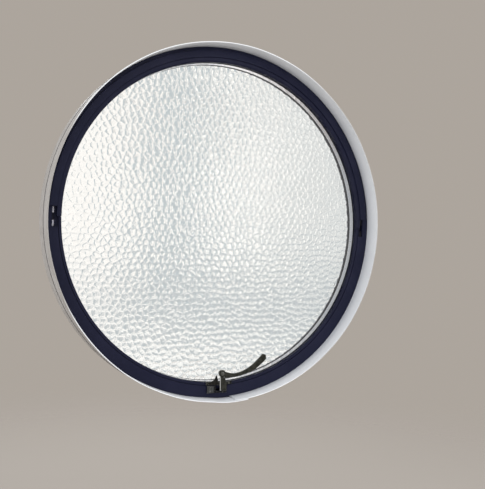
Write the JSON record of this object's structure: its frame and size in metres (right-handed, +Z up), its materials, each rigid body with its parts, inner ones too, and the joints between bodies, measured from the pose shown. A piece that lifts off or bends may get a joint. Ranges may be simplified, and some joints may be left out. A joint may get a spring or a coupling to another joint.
{
  "type": "round pivot window",
  "caption": "Round porthole window, double glazed, that turns on two horizontal pivots in its own frame and is closed by a small lever handle.",
  "frame": {"origin": "centre of the window, on the pivot axis, at mid depth of the fixed frame", "axes": "+X along the pivots, to the right as seen from the room; +Y out of the building; +Z up"},
  "size_m": [0.7559, 0.0897, 0.7577],
  "materials": {
    "frame_paint": "satin",
    "liner": "satin",
    "seal": "matte",
    "butyl": "matte",
    "handle_bronze": "satin",
    "screw": "satin",
    "pivot_steel": "satin",
    "spacer": "satin",
    "plastic": "matte",
    "clear_glass": "clear",
    "obscure_glass": "textured"
  },
  "bodies": {
    "frame": {"outer_frame": "frame_paint", "reveal_liner": "liner", "lower_seal": "seal", "upper_seal": "seal", "pivot_block_left": "pivot_steel", "pivot_block_right": "pivot_steel", "pivot_block_screws": "screw", "keep_plate": "handle_bronze", "keep_screws": "handle_bronze"},
    "sash": {"sash_frame": "frame_paint", "glazing_bead_upper": "frame_paint", "glazing_bead_lower": "frame_paint", "bead_screws": "screw", "inner_pane": "clear_glass", "outer_pane": "obscure_glass", "spacer_bar": "spacer", "butyl_seal": "butyl", "edge_sealant": "butyl", "bead_gasket": "seal", "glazing_tape": "seal", "setting_blocks": "plastic", "pivot_pin_left": "pivot_steel", "pivot_pin_right": "pivot_steel", "pivot_plate_left": "pivot_steel", "pivot_plate_right": "pivot_steel", "pivot_plate_screws": "screw", "pivot_washer_left": "plastic", "pivot_washer_right": "plastic", "handle_base": "handle_bronze", "handle_base_screws": "handle_bronze", "handle_pin": "handle_bronze", "handle_washer": "plastic"},
    "lever": {"handle_lever": "handle_bronze"}
  },
  "joints": [
    {"name": "sash_pivot", "type": "hinge", "parent": "frame", "child": "sash", "pos_m": [0, 0, 0], "axis": [1, 0, 0], "range_deg": [0, 60]},
    {"name": "lever_turn", "type": "hinge", "parent": "sash", "child": "lever", "pos_m": [0.003, -0.031, -0.3228], "axis": [0, -1, 0], "range_deg": [-30, 60]}
  ]
}
